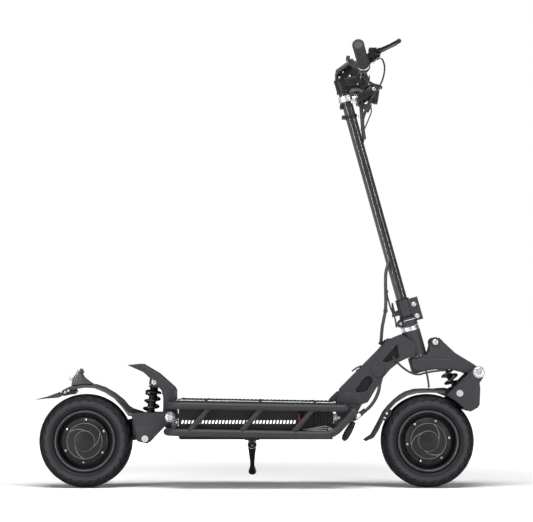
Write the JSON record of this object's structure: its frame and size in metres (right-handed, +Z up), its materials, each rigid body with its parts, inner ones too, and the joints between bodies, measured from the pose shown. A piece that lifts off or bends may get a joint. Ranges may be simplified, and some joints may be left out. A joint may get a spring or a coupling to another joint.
{
  "type": "electric kick scooter",
  "caption": "Folding electric kick scooter with single-sided swing arms, coil shocks, a tube-framed deck, hub motors, disc brakes and a kickstand.",
  "frame": {"origin": "on the ground, midway between the scooter's foremost and rearmost points and on its centre plane", "axes": "+X forward, +Y to the rider's left, +Z up"},
  "size_m": [1.345, 0.7422, 1.3021],
  "materials": {
    "charcoal_paint": "satin powder coat",
    "motor_casting": "satin powder coat",
    "black_casting": "satin black",
    "black_tube": "satin black",
    "rubber": "matte",
    "tyre": "matte",
    "black_plastic": "matte",
    "steel": "satin",
    "silver_alloy": "satin",
    "spring_paint": "gloss black",
    "cable": "matte",
    "cells": "gloss sleeve",
    "light_lens": "clear lens",
    "red_button": "gloss",
    "grey_button": "gloss"
  },
  "bodies": {
    "frame": {"upper_rails": "charcoal_paint", "lower_rails": "charcoal_paint", "neck_casting": "charcoal_paint", "deck_plate": "charcoal_paint", "deck_mat": "rubber", "battery_case": "black_casting", "battery_pack": "cells", "controller_box": "black_casting", "underside_cover": "black_casting", "light_strips": "light_lens", "kick_plate": "charcoal_paint", "frame_bolts": "steel", "headset_cups": "steel", "stand_bracket": "black_casting", "main_harness": "cable"},
    "charge_cap": {"charge_cap": "rubber"},
    "kickstand": {"kickstand_leg": "black_casting"},
    "fork": {"fork_crown": "charcoal_paint", "steerer_tube": "steel", "fold_base": "charcoal_paint", "fork_bolts": "steel", "control_cables": "cable"},
    "stem": {"stem_tube": "black_tube", "fold_sleeve": "charcoal_paint", "stem_block": "black_casting", "handlebar": "black_tube", "grips": "rubber", "brake_masters": "black_casting", "display_housing": "black_plastic", "headlight_bracket": "silver_alloy", "bar_controls": "black_plastic", "stem_bolts": "steel"},
    "fold_latch": {"fold_latch": "black_plastic"},
    "brake_lever_left": {"brake_lever_left": "black_casting"},
    "brake_lever_right": {"brake_lever_right": "black_casting"},
    "throttle": {"throttle_paddle": "black_plastic"},
    "horn_button": {"horn_button": "red_button"},
    "light_button": {"light_button": "grey_button"},
    "headlight": {"headlight": "black_plastic"},
    "front_arm": {"front_arm": "charcoal_paint", "front_axle": "steel", "front_caliper": "black_casting", "front_fender": "black_plastic"},
    "rear_arm": {"rear_arm": "charcoal_paint", "rear_axle": "steel", "rear_caliper": "black_casting", "rear_fender": "black_plastic", "tail_light": "light_lens"},
    "front_wheel": {"front_tyre": "tyre", "front_hub": "motor_casting", "front_disc": "steel"},
    "rear_wheel": {"rear_tyre": "tyre", "rear_hub": "motor_casting", "rear_disc": "steel"},
    "front_shock": {"front_shock_body": "black_casting", "front_spring": "spring_paint"},
    "front_damper_rod": {"front_shock_rod": "steel"},
    "rear_shock": {"rear_shock_body": "black_casting", "rear_spring": "spring_paint"},
    "rear_damper_rod": {"rear_shock_rod": "steel"}
  },
  "joints": [
    {"name": "steering", "type": "hinge", "parent": "frame", "child": "fork", "pos_m": [0.46848, 0, 0.433], "axis": [-0.2622, 0, 0.965], "range_deg": [-40, 40], "deforming": ["control_cables"]},
    {"name": "stem_fold", "type": "hinge", "parent": "fork", "child": "stem", "pos_m": [0.427, 0, 0.491], "axis": [0, -1, 0], "range_deg": [0, 72]},
    {"name": "fold_latch_turn", "type": "hinge", "parent": "stem", "child": "fold_latch", "pos_m": [0.408, 0, 0.519], "axis": [0, -1, 0], "range_deg": [0, 25]},
    {"name": "left_brake", "type": "hinge", "parent": "stem", "child": "brake_lever_left", "pos_m": [0.345, 0.226, 1.276], "axis": [0, -0.0698, 0.9976], "range_deg": [0, 18], "stiffness_Nm_per_rad": 1.2, "springref_deg": -17.19},
    {"name": "right_brake", "type": "hinge", "parent": "stem", "child": "brake_lever_right", "pos_m": [0.345, -0.226, 1.276], "axis": [0, -0.0698, -0.9976], "range_deg": [0, 18], "stiffness_Nm_per_rad": 1.2, "springref_deg": -17.19},
    {"name": "throttle_turn", "type": "hinge", "parent": "stem", "child": "throttle", "pos_m": [0.306, -0.2015, 1.24], "axis": [0, -1, 0], "range_deg": [0, 22], "stiffness_Nm_per_rad": 0.15, "springref_deg": -22.92},
    {"name": "horn_press", "type": "slide", "parent": "stem", "child": "horn_button", "axis": [1, 0, 0], "range_m": [0, 0.002], "stiffness_N_per_m": 400, "springref_m": -0.001},
    {"name": "light_press", "type": "slide", "parent": "stem", "child": "light_button", "axis": [1, 0, 0], "range_m": [0, 0.002], "stiffness_N_per_m": 400, "springref_m": -0.001},
    {"name": "headlight_tilt", "type": "hinge", "parent": "stem", "child": "headlight", "pos_m": [0.348, 0, 1.207], "axis": [0, 1, 0], "range_deg": [-6, 18]},
    {"name": "charge_cap_hinge", "type": "hinge", "parent": "frame", "child": "charge_cap", "pos_m": [0.08, 0.0955, 0.219], "axis": [1, 0, 0], "range_deg": [0, 95]},
    {"name": "kickstand_fold", "type": "hinge", "parent": "frame", "child": "kickstand", "pos_m": [-0.024, 0.092, 0.128], "axis": [0, 0.7912, 0.6115], "range_deg": [0, 88]},
    {"name": "front_suspension", "type": "hinge", "parent": "fork", "child": "front_arm", "pos_m": [0.656, 0, 0.3455], "axis": [0, 1, 0], "range_deg": [0, 8], "stiffness_Nm_per_rad": 600, "springref_deg": -6.88},
    {"name": "rear_suspension", "type": "hinge", "parent": "frame", "child": "rear_arm", "pos_m": [-0.268, 0, 0.212], "axis": [0, 1, 0], "range_deg": [0, 10], "stiffness_Nm_per_rad": 700, "springref_deg": -9.17},
    {"name": "front_wheel_spin", "type": "hinge", "parent": "front_arm", "child": "front_wheel", "pos_m": [0.505, 0, 0.14], "axis": [0, 1, 0], "continuous": true},
    {"name": "rear_wheel_spin", "type": "hinge", "parent": "rear_arm", "child": "rear_wheel", "pos_m": [-0.524, 0, 0.14], "axis": [0, 1, 0], "continuous": true},
    {"name": "front_shock_tilt", "type": "hinge", "parent": "fork", "child": "front_shock", "pos_m": [0.529, 0, 0.436], "axis": [0, 1, 0], "range_deg": [-1, 3]},
    {"name": "front_shock_slide", "type": "slide", "parent": "front_shock", "child": "front_damper_rod", "axis": [-0.41, 0, 0.9121], "range_m": [0, 0.014], "deforming": ["front_spring"]},
    {"name": "rear_shock_tilt", "type": "hinge", "parent": "frame", "child": "rear_shock", "pos_m": [-0.317, 0, 0.3165], "axis": [0, 1, 0], "range_deg": [-1, 6]},
    {"name": "rear_shock_slide", "type": "slide", "parent": "rear_shock", "child": "rear_damper_rod", "axis": [0.1463, 0, 0.9892], "range_m": [0, 0.014], "deforming": ["rear_spring"]}
  ],
  "couplings": [
    {"joint": "front_shock_tilt", "follows": "front_suspension", "ratio": 0.18422},
    {"joint": "front_shock_slide", "follows": "front_suspension", "m_per_rad": 0.080074},
    {"joint": "rear_shock_tilt", "follows": "rear_suspension", "ratio": 0.43347},
    {"joint": "rear_shock_slide", "follows": "rear_suspension", "m_per_rad": 0.066496}
  ]
}
